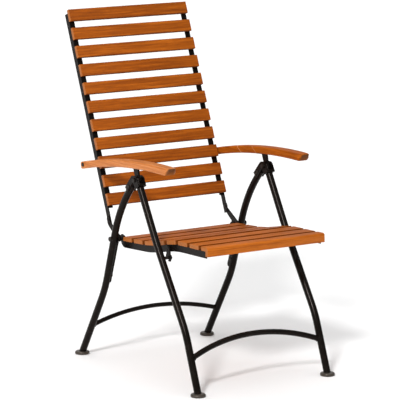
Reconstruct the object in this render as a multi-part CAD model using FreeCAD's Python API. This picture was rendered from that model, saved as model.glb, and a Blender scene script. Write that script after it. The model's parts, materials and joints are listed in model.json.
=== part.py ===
import FreeCAD, Part
import math
import os

# Folding garden armchair with a high slatted back, on bent steel tube legs.
# The chair faces -Y, Z is up and the feet stand on z = 0. Sizes are in mm.
# Side views are drawn as (y, z). Right-hand pieces are drawn at +X and mirrored to the left.

# Legs: round tubes bent in one upright plane on each side
LEG_PLANE = 238.0
LEG_RADIUS = 11.0
LEG_WALL = 2.0
APEX = (-34.0, 606.0)
REAR_LEG = [(-4.9, 586.2), (74.0, 500.0), (159.0, 236.0), (303.0, 0.0)]
REAR_LEG_BENDS = [420.0, 350.0]
FRONT_LEG = [APEX, (-134.0, 430.0), (-296.0, 181.0), (-364.0, 0.0)]
FRONT_LEG_BENDS = [1500.0, 300.0]
REAR_END_SOLID = 14.0
FRONT_END_SOLID = 40.0

# Feet: plastic glides plugged into the tubes
FOOT_RADIUS = 23.0
FOOT_HEIGHT = 9.0
FOOT_EDGE = 4.0
FOOT_PLUG = 24.0

# Stretchers: round bars arched up and back between the legs
REAR_STRETCHER_RADIUS = 7.0
REAR_STRETCHER_END = (241.0, 102.0)
REAR_STRETCHER_CREST = (256.0, 135.0)
FRONT_STRETCHER_RADIUS = 8.5
FRONT_STRETCHER_END = (-324.0, 106.0)
FRONT_STRETCHER_CREST = (-300.0, 150.5)

# Apex bracket: two cheeks joined by a stop flange in front of the front leg
PLATE = 3.0
CHEEK_TOP = 619.0
CHEEK_CORNER = 15.0
CHEEK_MARGIN = 0.5
CHEEK_INSET = 3.0
REAR_CHEEK_REACH = 22.0
FRONT_CHEEK_REACH = 26.0
STOP_START = 18.0
STOP_GAP = 0.5
CHEEK_NOTCH_DROP = 7.0
CHEEK_NOTCH_BACK = 9.0
CHEEK_RIVET_REACH = (5.0, 16.2)
FORK_FLAT = 0.3
FORK_FLAT_REACH = 46.0
FORK_SLOT_RADIUS = 18.0

# Pivots and fasteners
PIVOT_BOLT_RADIUS = 4.0
RUNNING_CLEARANCE = 0.05
SIDE_CLEARANCE = 0.4
BOLT_HEAD_RADIUS = 7.0
BOLT_HEAD = 4.5
NUT_ACROSS_FLATS = 13.0
NUT_THICKNESS = 6.0
RIVET_RADIUS = 3.0
RIVET_HEAD_RADIUS = 5.5
RIVET_HEAD = 2.0
HEAD_EDGE = 1.4
SCREW_RADIUS = 2.0
SCREW_HEAD_RADIUS = 3.6
SCREW_HEAD = 2.4
SCREW_BITE = 11.0
SLAT_SCREW_BITE = 8.0

# Seat and back hinge: one bolt through each rear leg, over a strip on the leg's inner side
HINGE = (105.6, 402.0)
HINGE_STRIP_SEAT = 2.0
HINGE_STRIP_THICKNESS = 5.5
HINGE_STRIP_OUTER = LEG_PLANE - LEG_RADIUS + HINGE_STRIP_SEAT
HINGE_STRIP_INNER = HINGE_STRIP_OUTER - HINGE_STRIP_THICKNESS
HINGE_SPACE = 2.0
HINGE_STRIP_RADIUS = 8.0
HINGE_STRIP_LOW = (154.0, 262.0)
HINGE_STRIP_RIVETS = [(125.5, 340.0), (145.0, 280.0)]
HINGE_CAP_RADIUS = 7.5
HINGE_CAP = 6.0
WASHER_RADIUS = 9.0

# Back: angle-steel uprights, drawn in a frame whose origin is the hinge and whose z runs up the back
BACK_LEAN = 21.85
BACK_SLATS = 11
BACK_PITCH = 59.55
BACK_SLAT_WIDTH = 38.3
BACK_SLAT_THICKNESS = 12.5
BACK_TOP = 742.3
BACK_FACE = 16.5
SLAT_EDGE = 1.8
UPRIGHT_OUTER = HINGE_STRIP_INNER - HINGE_SPACE - PLATE
BACK_OVERHANG = 1.0
BACK_HALF_WIDTH = UPRIGHT_OUTER + BACK_OVERHANG
UPRIGHT_FLANGE = 18.0
UPRIGHT_DEPTH = 18.0
UPRIGHT_TOP_DROP = 10.0
UPRIGHT_FLANGE_END = 102.3
UPRIGHT_WEB_END = 46.3
LOWER_BAR_LAP = 56.3
LOWER_BAR_TOP = 70.3
LOWER_BAR_RADIUS = 7.5
LOWER_BAR_EYE = 11.0
LAP_RIVETS = (53.3, 67.3)
BACK_SCREW_SET = 10.5
BACK_SCREW_X = UPRIGHT_OUTER - BACK_SCREW_SET

# Armrests: bent hardwood on a steel tab, held up at the rear by a pin under a notched plate
ARM_GAP = 2.3
ARM_INNER = BACK_HALF_WIDTH + ARM_GAP + PLATE
ARM_WIDTH = 39.0
ARM_THICKNESS = 23.0
ARM_REAR_PAST_PIN = (30.2, 10.5)
ARM_TOP = [(15.0, 662.0), (-235.0, 668.5)]
ARM_FRONT_RAKE = 16.0
ARM_NOSE = 9.0
ARM_TAIL = 7.0
ARM_EDGE = 4.0
TAB_THICKNESS = 6.0
TAB_EYE = 10.0
TAB_TOP_Y = (-36.0, -10.0)
TAB_FLANGE_Y = (-42.0, 6.0)
TAB_FLANGE_WIDTH = 22.0
TAB_SCREW_OFFSET = 7.0
TAB_SCREW_MARGIN = 5.5
PIN_RADIUS = 4.0
PIN_HEAD_RADIUS = 5.0
PIN_HEIGHT = 242.3
PIN_DEPTH = 18.0
COMB_CLEARANCE = 0.4
COMB_WIDTH = 11.2
COMB_ANGLES = (-1.2, 4.9)
NOTCH_STEP = 2.0
NOTCH_COUNT = 3
NOTCH_RADIUS = 3.2
COMB_BOLT_ANGLE = 3.0
COMB_BOLT_REACH = 6.7
COMB_SCREW_ANGLE = 1.0
COMB_SCREW_REACH = 3.7
COMB_BOLT_RADIUS = 3.0
COMB_SCREW_LENGTH = 18.0
DOME_RADIUS = 6.5
DOME_HEIGHT = 2.5

# Seat: angle-steel rails in a shallow S, with slats across
SEAT_SLATS = 8
SEAT_SLAT_REAR_CENTRE = 67.0
SEAT_PITCH = 61.7
SEAT_SLAT_WIDTH = 49.0
SEAT_SLAT_THICKNESS = 12.5
SEAT_FRONT_WIDTH = 35.7
SEAT_LIP = 15.5
SEAT_LIP_THICKNESS = 12.7
SEAT_REAR_EDGE = SEAT_SLAT_REAR_CENTRE + SEAT_SLAT_WIDTH / 2
SEAT_FRONT_EDGE = SEAT_REAR_EDGE - (SEAT_SLATS - 1) * SEAT_PITCH - SEAT_FRONT_WIDTH
RAIL_FRONT = SEAT_FRONT_EDGE + SEAT_LIP_THICKNESS + SIDE_CLEARANCE
RAIL = [HINGE, (97.0, 383.8), (-56.0, 392.5), (-201.0, 421.0), (RAIL_FRONT, 425.2)]
RAIL_BENDS = [15.0, 300.0, 400.0]
RAIL_SPACE = 9.5
RAIL_OUTER = UPRIGHT_OUTER - RAIL_SPACE
RAIL_HEIGHT = 21.5
RAIL_FLANGE = 16.0
RAIL_FLANGE_REAR = 84.0
RAIL_EYE = 11.5
SEAT_OVERHANG = 4.5
SEAT_HALF_WIDTH = RAIL_OUTER + SEAT_OVERHANG
SEAT_NOSE = 8.0
SLAT_BITE = 0.3
SEAT_SCREW_SET = 9.0
SEAT_SCREW_X = RAIL_OUTER - SEAT_SCREW_SET

# Seat hooks: tabs on the rails that drop over studs on the front legs
STUD = (-162.0, 384.5)
STUD_RADIUS = 5.0
HOOK_THICKNESS = 5.0
HOOK_HALF_WIDTH = 11.0
HOOK_LOW = 374.0
HOOK_STEM_HALF = 8.5
HOOK_SLOT_CLEARANCE = 0.4
HOOK_SLOT_LEAN = 30.5
HOOK_SLOT_LENGTH = 20.0
HOOK_RIVET_SPREAD = 5.0
HOOK_RIVET_DROP = 4.0

# Lengths for the geometry itself: past the whole chair, how near counts as touching, and steps along a curve
BEYOND = 1000.0
TOUCH = 0.1
RAIL_SAMPLES = 900
SUPPORT_STEPS = 10

X_AXIS = FreeCAD.Vector(1, 0, 0)
ORIGIN = FreeCAD.Vector(0, 0, 0)


def at(x, point):
    """Vector at the side-view point (y, z) in the plane X = x."""
    return FreeCAD.Vector(x, point[0], point[1])


def box(x_range, y_range, z_range):
    """Box between pairs of limits."""
    sizes = [limits[1] - limits[0] for limits in (x_range, y_range, z_range)]
    return Part.makeBox(*sizes, FreeCAD.Vector(x_range[0], y_range[0], z_range[0]))


def rod(centre, radius, x_start, x_end):
    """Cylinder along X through the side-view point."""
    return Part.makeCylinder(radius, x_end - x_start, at(x_start, centre), X_AXIS)


def head(centre, radius, x_base, x_face):
    """Fastener head from the face it stands on to its own outer face, with a rounded rim."""
    blank = rod(centre, radius, min(x_base, x_face), max(x_base, x_face))
    rim = []
    for edge in blank.Edges:
        extent = edge.BoundBox
        if extent.XLength < TOUCH and abs(extent.XMin - x_face) < TOUCH:
            rim.append(edge)
    return blank.makeFillet(HEAD_EDGE, rim)


def fused(shapes):
    """One solid made of touching or overlapping shapes."""
    return shapes[0].multiFuse(shapes[1:]).removeSplitter()


def largest(shape):
    """The main solid of a shape that was cut into several."""
    return max(shape.Solids, key=lambda solid: solid.Volume)


def plate(points, x_start, x_end):
    """Flat plate with a straight-sided side-view outline."""
    corners = [at(x_start, point) for point in points]
    face = Part.Face(Part.makePolygon(corners + corners[:1]))
    return face.extrude(X_AXIS * (x_end - x_start))


def link(start, start_radius, end, end_radius, x_start, x_end):
    """Flat link with a round end at each of two side-view points."""
    first = at(x_start, start)
    last = at(x_start, end)
    along = (last - first).normalize()
    side = X_AXIS.cross(along)
    tilt = math.asin((start_radius - end_radius) / first.distanceToPoint(last))
    tangent_points = []
    for sign in (1, -1):
        normal = along * math.sin(tilt) + side * (sign * math.cos(tilt))
        tangent_points.append((first + normal * start_radius, last + normal * end_radius))
    (first_left, last_left), (first_right, last_right) = tangent_points
    edges = [
        Part.Arc(first_right, first - along * start_radius, first_left).toShape(),
        Part.makeLine(first_left, last_left),
        Part.Arc(last_left, last + along * end_radius, last_right).toShape(),
        Part.makeLine(last_right, first_right),
    ]
    return Part.Face(Part.Wire(edges)).extrude(X_AXIS * (x_end - x_start))


def rounded_path(points, radii, x):
    """Wire of straight runs in the plane X = x, with a tangent arc at each inner corner."""
    corners = [at(x, point) for point in points]
    edges = []
    start = corners[0]
    for before, corner, after, radius in zip(corners, corners[1:], corners[2:], radii):
        arrive = (corner - before).normalize()
        leave = (after - corner).normalize()
        half_turn = arrive.getAngle(leave) / 2
        reach = radius * math.tan(half_turn)
        inward = (leave - arrive).normalize()
        arc_middle = corner + inward * (radius / math.cos(half_turn) - radius)
        arc_end = corner + leave * reach
        edges.append(Part.makeLine(start, corner - arrive * reach))
        edges.append(Part.Arc(corner - arrive * reach, arc_middle, arc_end).toShape())
        start = arc_end
    edges.append(Part.makeLine(start, corners[-1]))
    return Part.Wire(edges)


def sweep_round(path, radius):
    """Round bar along a path."""
    first = path.Edges[0]
    start = first.valueAt(first.FirstParameter)
    circle = Part.Wire(Part.makeCircle(radius, start, first.tangentAt(first.FirstParameter)))
    return path.makePipeShell([circle], True, False)


def sweep_rectangle(path, x_range, height_range):
    """Bar of rectangular section along a path, with heights measured square to it."""
    first = path.Edges[0]
    start = first.valueAt(first.FirstParameter)
    up = first.tangentAt(first.FirstParameter).cross(X_AXIS)
    corners = []
    for x, height in ((0, 0), (1, 0), (1, 1), (0, 1)):
        offset = X_AXIS * (x_range[x] - start.x) + up * height_range[height]
        corners.append(start + offset)
    return path.makePipeShell([Part.makePolygon(corners + corners[:1])], True, False)


def hexagon(centre, x_start, x_end):
    """Hexagon nut blank along X."""
    corner_radius = NUT_ACROSS_FLATS / 2 / math.cos(math.pi / 6)
    points = []
    for step in range(6):
        angle = step * math.pi / 3
        outward = (math.cos(angle), math.sin(angle))
        points.append(offset_point(centre, (outward, corner_radius)))
    return plate(points, x_start, x_end)


def rivet(centre, x_start, x_end, radius=RIVET_RADIUS, head_radius=RIVET_HEAD_RADIUS):
    """Rivet between two outer faces, with a head on each."""
    return fused([
        rod(centre, radius, x_start, x_end),
        head(centre, head_radius, x_start, x_start - RIVET_HEAD),
        head(centre, head_radius, x_end, x_end + RIVET_HEAD),
    ])


def mirrored(shape):
    """The same piece on the other side of the chair."""
    return shape.mirror(ORIGIN, X_AXIS)


def both_sides(shape):
    """A group of the same piece on both sides, as separate solids."""
    return Part.makeCompound([mirrored(shape), shape])


def unit(start, end):
    """Unit vector from one side-view point to another, as (y, z)."""
    length = math.dist(start, end)
    return ((end[0] - start[0]) / length, (end[1] - start[1]) / length)


def offset_point(point, *moves):
    """Side-view point moved by (direction, distance) pairs."""
    y, z = point
    for direction, distance in moves:
        y += direction[0] * distance
        z += direction[1] * distance
    return (y, z)


def on_height(point, direction, height):
    """Where the line through a side-view point reaches a height."""
    return (point[0] + direction[0] * (height - point[1]) / direction[1], height)


def make_leg(points, bends, solid_end):
    """Leg tube with a closed upper end, its filled outer form and its bore."""
    path = rounded_path(points, bends, LEG_PLANE)
    outer = sweep_round(path, LEG_RADIUS)
    bore = sweep_round(path, LEG_RADIUS - LEG_WALL)
    bore = bore.cut(Part.makeSphere(solid_end, at(LEG_PLANE, points[0])))
    ground = box((0, 2 * LEG_PLANE), (-BEYOND, BEYOND), (-BEYOND, FOOT_HEIGHT))
    return outer.cut(bore).cut(ground), outer, bore


def make_foot(points, bore):
    """Round glide under a leg, with a plug that fills the end of the tube."""
    centre_y = on_height(points[-1], unit(points[-2], points[-1]), FOOT_HEIGHT / 2)[0]
    disc = Part.makeCylinder(FOOT_RADIUS, FOOT_HEIGHT, FreeCAD.Vector(LEG_PLANE, centre_y, 0))
    top_edges = [edge for edge in disc.Edges if edge.BoundBox.ZMin > FOOT_HEIGHT - TOUCH]
    disc = disc.makeFillet(FOOT_EDGE, top_edges)
    plug_height = (FOOT_HEIGHT / 2, FOOT_HEIGHT + FOOT_PLUG)
    plug_zone = box((0, 2 * LEG_PLANE), (-BEYOND, BEYOND), plug_height)
    return fused([disc, bore.common(plug_zone)])


def make_stretcher(end, crest, radius, leg_outer):
    """Arched round bar whose ends fit the round legs."""
    arc = Part.Arc(at(-LEG_PLANE, end), at(0, crest), at(LEG_PLANE, end)).toShape()
    bar = sweep_round(Part.Wire(arc), radius)
    bar = bar.cut(leg_outer).cut(mirrored(leg_outer))
    return largest(bar)


rear_down = unit(REAR_LEG[0], REAR_LEG[1])
front_down = unit(FRONT_LEG[0], FRONT_LEG[1])
rear_out = (-rear_down[1], rear_down[0])
front_out = (front_down[1], -front_down[0])

rear_leg, rear_leg_outer, rear_bore = make_leg(REAR_LEG, REAR_LEG_BENDS, REAR_END_SOLID)
front_leg, front_leg_outer, front_bore = make_leg(FRONT_LEG, FRONT_LEG_BENDS, FRONT_END_SOLID)
rear_foot = make_foot(REAR_LEG, rear_bore)
front_foot = make_foot(FRONT_LEG, front_bore)
rear_stretcher = make_stretcher(
    REAR_STRETCHER_END, REAR_STRETCHER_CREST, REAR_STRETCHER_RADIUS, rear_leg_outer)
front_stretcher = make_stretcher(
    FRONT_STRETCHER_END, FRONT_STRETCHER_CREST, FRONT_STRETCHER_RADIUS, front_leg_outer)

# Apex bracket, its rivets into the rear leg and its pivot bolt
cheek_inner = LEG_PLANE - LEG_RADIUS
cheek_outer = LEG_PLANE + LEG_RADIUS
half_width = LEG_RADIUS + CHEEK_MARGIN
half_inside = LEG_RADIUS - CHEEK_INSET
stop_inside = LEG_RADIUS + STOP_GAP
stop_outside = stop_inside + PLATE
rear_end = offset_point(REAR_LEG[0], (rear_down, REAR_CHEEK_REACH))
front_end = offset_point(APEX, (front_down, FRONT_CHEEK_REACH))
rear_low_outside = offset_point(rear_end, (rear_out, half_width))
front_low_outside = offset_point(front_end, (front_out, stop_outside))
cheek_outline = [
    rear_low_outside,
    on_height(rear_low_outside, rear_down, CHEEK_TOP),
    on_height(front_low_outside, front_down, CHEEK_TOP),
    front_low_outside,
    offset_point(front_end, (front_out, -half_inside)),
    (APEX[0] + CHEEK_NOTCH_BACK, APEX[1] - CHEEK_NOTCH_DROP),
    offset_point(rear_end, (rear_out, -half_inside)),
]
stop_outline = [
    offset_point(APEX, (front_down, STOP_START), (front_out, stop_inside)),
    offset_point(APEX, (front_down, STOP_START), (front_out, stop_outside)),
    front_low_outside,
    offset_point(front_end, (front_out, stop_inside)),
]


def make_cheek(x_start):
    """Cheek plate with rounded upper corners."""
    cheek = plate(cheek_outline, x_start, x_start + PLATE)
    upper = []
    for edge in cheek.Edges:
        ends = edge.BoundBox
        if ends.ZMin > CHEEK_TOP - TOUCH and ends.YLength < TOUCH:
            upper.append(edge)
    return cheek.makeFillet(CHEEK_CORNER, upper)


cheek_rivet_points = [offset_point(REAR_LEG[0], (rear_down, reach)) for reach in CHEEK_RIVET_REACH]
cheek_rivets = [rivet(point, cheek_inner - PLATE, cheek_outer + PLATE) for point in cheek_rivet_points]
bracket = fused([
    make_cheek(cheek_inner - PLATE),
    make_cheek(cheek_outer),
    plate(stop_outline, cheek_inner - PLATE, cheek_outer + PLATE),
])
apex_bolt = fused([
    rod(APEX, PIVOT_BOLT_RADIUS, cheek_inner - PLATE - NUT_THICKNESS, cheek_outer + PLATE),
    head(APEX, BOLT_HEAD_RADIUS, cheek_outer + PLATE, cheek_outer + PLATE + BOLT_HEAD),
])
apex_nut = hexagon(APEX, cheek_inner - PLATE - NUT_THICKNESS, cheek_inner - PLATE).cut(apex_bolt)
bracket = bracket.cut(apex_bolt)
for piece in cheek_rivets:
    bracket = bracket.cut(piece)
    rear_leg = rear_leg.cut(piece)

# Forked upper end of the front leg, round about the pivot
pivot_hole = rod(APEX, PIVOT_BOLT_RADIUS + RUNNING_CLEARANCE, 0, 2 * LEG_PLANE)
flat_height = (APEX[1] - FORK_FLAT_REACH, APEX[1] + 2 * LEG_RADIUS)
flat_depth = (APEX[0] - FORK_FLAT_REACH, APEX[0] + FORK_FLAT_REACH)
front_leg = front_leg.fuse(Part.makeSphere(LEG_RADIUS, at(LEG_PLANE, APEX)))
front_leg = front_leg.cut(box((cheek_outer - FORK_FLAT, cheek_outer + PLATE), flat_depth, flat_height))
front_leg = front_leg.cut(box((cheek_inner - PLATE, cheek_inner + FORK_FLAT), flat_depth, flat_height))
slot_half = TAB_THICKNESS / 2 + SIDE_CLEARANCE
front_leg = front_leg.cut(rod(APEX, FORK_SLOT_RADIUS, LEG_PLANE - slot_half, LEG_PLANE + slot_half))
front_leg = front_leg.cut(pivot_hole)

# Hinge strip on the inner side of the rear leg, its rivets, and the bolt with its spacers
hinge_plate = link(HINGE, HINGE_STRIP_RADIUS, HINGE_STRIP_LOW, HINGE_STRIP_RADIUS,
                   HINGE_STRIP_INNER, HINGE_STRIP_OUTER).cut(rear_leg_outer)
hinge_plate = largest(hinge_plate)
strip_rivets = []
for point in HINGE_STRIP_RIVETS:
    shank = rod(point, RIVET_RADIUS, HINGE_STRIP_INNER, LEG_PLANE)
    strip_head = head(point, RIVET_HEAD_RADIUS, HINGE_STRIP_INNER, HINGE_STRIP_INNER - RIVET_HEAD)
    strip_rivets.append(shank.fuse(strip_head))
lower_bar_inner = UPRIGHT_OUTER
lower_bar_outer = UPRIGHT_OUTER + PLATE
rail_inner = RAIL_OUTER - PLATE
hinge_nut_outer = rail_inner - SIDE_CLEARANCE
hinge_nut_inner = hinge_nut_outer - NUT_THICKNESS
hinge_cap = head(HINGE, HINGE_CAP_RADIUS, LEG_PLANE, cheek_outer + HINGE_CAP).cut(rear_leg_outer)
hinge_shank = rod(HINGE, PIVOT_BOLT_RADIUS, hinge_nut_inner, cheek_outer)
hinge_bolt = fused([hinge_shank, largest(hinge_cap)])
hinge_nut = hexagon(HINGE, hinge_nut_inner, hinge_nut_outer).cut(hinge_bolt)
spacers = []
for x_start, x_end in [(RAIL_OUTER + SIDE_CLEARANCE, lower_bar_inner - SIDE_CLEARANCE),
                       (lower_bar_outer + SIDE_CLEARANCE, HINGE_STRIP_INNER)]:
    spacers.append(rod(HINGE, WASHER_RADIUS, x_start, x_end).cut(hinge_bolt))
hinge_plate = hinge_plate.cut(hinge_bolt)
rear_leg = rear_leg.cut(hinge_bolt)
for piece in strip_rivets:
    hinge_plate = hinge_plate.cut(piece)
    rear_leg = rear_leg.cut(piece)

# Studs on the front legs that carry the seat hooks
stud_end = RAIL_OUTER - SIDE_CLEARANCE - NUT_THICKNESS
stud = rod(STUD, STUD_RADIUS, stud_end, LEG_PLANE)
stud_nut = hexagon(STUD, stud_end, stud_end + NUT_THICKNESS).cut(stud)
front_leg = front_leg.cut(stud)

# Seat rails, with a flange under the slats and an eye at the hinge
rail_path = rounded_path(RAIL, RAIL_BENDS, RAIL_OUTER)
half_height = RAIL_HEIGHT / 2
web = sweep_rectangle(rail_path, (rail_inner, RAIL_OUTER), (-half_height, half_height))
flange = sweep_rectangle(
    rail_path, (RAIL_OUTER - RAIL_FLANGE, RAIL_OUTER), (half_height - PLATE, half_height))
flange = flange.cut(box((0, LEG_PLANE), (RAIL_FLANGE_REAR, BEYOND), (0, BEYOND)))
seat_rail = fused([
    web,
    flange,
    rod(HINGE, RAIL_EYE, rail_inner, RAIL_OUTER),
]).cut(rod(HINGE, PIVOT_BOLT_RADIUS + RUNNING_CLEARANCE, 0, LEG_PLANE))
rail_samples = [(point.y, point.z) for point in rail_path.discretize(Number=RAIL_SAMPLES)]


def rail_height(y):
    """Height of the rail's middle line at a place along the seat."""
    nearest = min(rail_samples, key=lambda sample: abs(sample[0] - y))
    return nearest[1]


def make_seat_slat(number):
    """Slat laid on both rails, with its underside fitted to them, and its two screws."""
    front = number == SEAT_SLATS - 1
    rear = SEAT_REAR_EDGE - number * SEAT_PITCH
    reach = SEAT_FRONT_WIDTH / 2 if front else SEAT_SLAT_WIDTH / 2
    centre = rear - reach
    rear_support = min(rear, RAIL_FLANGE_REAR)
    front_support = max(rear - 2 * reach, RAIL_FRONT)
    slope = (rail_height(rear_support) - rail_height(front_support)) / (rear_support - front_support)
    angle = math.atan(slope)
    rise = half_height / math.cos(angle)
    middle = rail_height(centre) + rise
    for step in range(SUPPORT_STEPS + 1):
        y = front_support + (rear_support - front_support) * step / SUPPORT_STEPS
        middle = max(middle, rail_height(y) + rise + (centre - y) * slope)
    slat = box((-SEAT_HALF_WIDTH, SEAT_HALF_WIDTH), (-reach, reach), (-SLAT_BITE, SEAT_SLAT_THICKNESS))
    on_top = SEAT_SLAT_THICKNESS - TOUCH
    nose = [edge for edge in slat.Edges if edge.BoundBox.ZMin > on_top and edge.BoundBox.YMax < 0]
    slat = slat.makeFillet(SEAT_NOSE if front else SLAT_EDGE, nose)
    if front:
        lip_rear = SEAT_LIP_THICKNESS - reach
        lip = box((-SEAT_HALF_WIDTH, SEAT_HALF_WIDTH), (-reach, lip_rear), (-SEAT_LIP, 0))
        slat = fused([slat, lip])
    rear_edge = [edge for edge in slat.Edges if edge.BoundBox.ZMin > on_top and edge.BoundBox.YMin > 0]
    slat = slat.makeFillet(SLAT_EDGE, rear_edge)
    screw_place = (rear_support + front_support) / 2
    screw_y = screw_place - centre
    screw_base = rail_height(screw_place) + rise - PLATE / math.cos(angle) - middle - screw_y * slope
    screws = []
    for x in (-SEAT_SCREW_X, SEAT_SCREW_X):
        base = FreeCAD.Vector(x, screw_y, screw_base)
        shank = Part.makeCylinder(SCREW_RADIUS, SLAT_SCREW_BITE - screw_base, base)
        low = base - FreeCAD.Vector(0, 0, SCREW_HEAD)
        screws.append(shank.fuse(Part.makeCylinder(SCREW_HEAD_RADIUS, SCREW_HEAD, low)))
    for shape in [slat] + screws:
        shape.rotate(ORIGIN, X_AXIS, math.degrees(angle))
        shape.translate(FreeCAD.Vector(0, centre, middle))
    return slat, screws


seat_slats = []
seat_screws = []
for number in range(SEAT_SLATS):
    slat, screws = make_seat_slat(number)
    slat = slat.cut(seat_rail).cut(mirrored(seat_rail))
    for screw in screws:
        slat = slat.cut(screw)
        seat_screws.append(screw)
    seat_slats.append(largest(slat))
for screw in seat_screws:
    seat_rail = seat_rail.cut(screw)

# Seat hooks, open downwards and to the rear
hook_top = rail_height(STUD[0]) + half_height - PLATE
slot_direction = (math.sin(math.radians(HOOK_SLOT_LEAN)), -math.cos(math.radians(HOOK_SLOT_LEAN)))
slot_radius = STUD_RADIUS + HOOK_SLOT_CLEARANCE
slot_mouth = STUD_RADIUS + 2 * HOOK_SLOT_CLEARANCE
slot_far = offset_point(STUD, (slot_direction, HOOK_SLOT_LENGTH))
hook_inner = RAIL_OUTER
hook_outer = RAIL_OUTER + HOOK_THICKNESS
hook_shoulder = STUD[1] + HOOK_HALF_WIDTH
hook = plate([
    (STUD[0] - HOOK_STEM_HALF, hook_top),
    (STUD[0] + HOOK_STEM_HALF, hook_top),
    (STUD[0] + HOOK_STEM_HALF, hook_shoulder),
    (STUD[0] + HOOK_HALF_WIDTH, hook_shoulder - HOOK_HALF_WIDTH + HOOK_STEM_HALF),
    (STUD[0] + HOOK_HALF_WIDTH, HOOK_LOW),
    (STUD[0] - HOOK_HALF_WIDTH, HOOK_LOW),
    (STUD[0] - HOOK_HALF_WIDTH, hook_shoulder - HOOK_HALF_WIDTH + HOOK_STEM_HALF),
    (STUD[0] - HOOK_STEM_HALF, hook_shoulder),
], hook_inner, hook_outer)
hook = hook.cut(link(STUD, slot_radius, slot_far, slot_mouth, hook_inner, hook_outer))
hook_rivets = []
for side in (-1, 1):
    y = STUD[0] + side * HOOK_RIVET_SPREAD
    point = (y, rail_height(y) - HOOK_RIVET_DROP)
    hook_rivets.append(rivet(point, rail_inner, hook_outer, SCREW_RADIUS, SCREW_HEAD_RADIUS))
for piece in hook_rivets:
    hook = hook.cut(piece)
    seat_rail = seat_rail.cut(piece)


def into_back(shape):
    """Move a shape from the back's own frame to its place behind the seat."""
    shape.rotate(ORIGIN, X_AXIS, -BACK_LEAN)
    shape.translate(at(0, HINGE))
    return shape


# Back uprights, lower bars and slats, in the back's own frame
flange_front = BACK_FACE + BACK_SLAT_THICKNESS
flange_back = flange_front + PLATE
upright_inner = UPRIGHT_OUTER - PLATE
upright_top = BACK_TOP - UPRIGHT_TOP_DROP
web_back = flange_front + UPRIGHT_DEPTH
web_middle = (flange_front + web_back) / 2
flange_inner = UPRIGHT_OUTER - UPRIGHT_FLANGE
upright = fused([
    box((flange_inner, UPRIGHT_OUTER), (flange_front, flange_back), (UPRIGHT_FLANGE_END, upright_top)),
    box((upright_inner, UPRIGHT_OUTER), (flange_front, web_back), (UPRIGHT_WEB_END, upright_top)),
])
lap_place = (web_middle, LOWER_BAR_LAP)
bar_top = (web_middle, LOWER_BAR_TOP)
lower_bar = fused([
    link((0, 0), LOWER_BAR_EYE, lap_place, LOWER_BAR_RADIUS, lower_bar_inner, lower_bar_outer),
    link(lap_place, LOWER_BAR_RADIUS, bar_top, LOWER_BAR_RADIUS, lower_bar_inner, lower_bar_outer),
])
lower_bar = lower_bar.cut(rod((0, 0), PIVOT_BOLT_RADIUS + RUNNING_CLEARANCE, 0, LEG_PLANE))
lap_rivets = [rivet((web_middle, reach), upright_inner, lower_bar_outer, SCREW_RADIUS, SCREW_HEAD_RADIUS)
              for reach in LAP_RIVETS]
pin_place = (BACK_FACE + PIN_DEPTH, PIN_HEIGHT)
lock_pin = fused([
    rod(pin_place, PIN_RADIUS, upright_inner, ARM_INNER - SIDE_CLEARANCE),
    rod(pin_place, PIN_HEAD_RADIUS, upright_inner - RIVET_HEAD, upright_inner),
])
upright = upright.cut(lock_pin)
for piece in lap_rivets:
    upright = upright.cut(piece)
    lower_bar = lower_bar.cut(piece)


def make_back_slat(number):
    """Slat on the front of both uprights, with its long edges eased, and its two screws from behind."""
    top = BACK_TOP - number * BACK_PITCH
    slat = box((-BACK_HALF_WIDTH, BACK_HALF_WIDTH), (BACK_FACE, flange_front), (top - BACK_SLAT_WIDTH, top))
    long_edges = [edge for edge in slat.Edges if edge.BoundBox.XLength > BACK_HALF_WIDTH]
    front_edges = [edge for edge in long_edges if edge.BoundBox.YMax < flange_front - TOUCH]
    slat = slat.makeFillet(SLAT_EDGE, front_edges)
    middle = top - BACK_SLAT_WIDTH / 2
    screws = []
    for x in (-BACK_SCREW_X, BACK_SCREW_X):
        tip = FreeCAD.Vector(x, flange_front - SLAT_SCREW_BITE, middle)
        along = FreeCAD.Vector(0, 1, 0)
        shank = Part.makeCylinder(SCREW_RADIUS, SLAT_SCREW_BITE + PLATE, tip, along)
        head_base = FreeCAD.Vector(x, flange_front + PLATE, middle)
        screws.append(shank.fuse(Part.makeCylinder(SCREW_HEAD_RADIUS, SCREW_HEAD, head_base, along)))
    for screw in screws:
        slat = slat.cut(screw)
    return slat, screws


back_slats = []
back_screws = []
for number in range(BACK_SLATS):
    slat, screws = make_back_slat(number)
    back_slats.append(into_back(slat))
    back_screws += screws
for screw in back_screws:
    if screw.BoundBox.XMin > 0:
        upright = upright.cut(screw)
back_screws = [into_back(screw) for screw in back_screws]
upright = into_back(upright)
lower_bar = into_back(lower_bar)
lock_pin = into_back(lock_pin)
lap_rivets = [into_back(piece) for piece in lap_rivets]


def on_hinge_circle(reach, angle):
    """Side-view point at a distance from the hinge and an angle back from upright, in degrees."""
    turn = math.radians(angle)
    return offset_point(HINGE, ((math.sin(turn), math.cos(turn)), reach))


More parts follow.
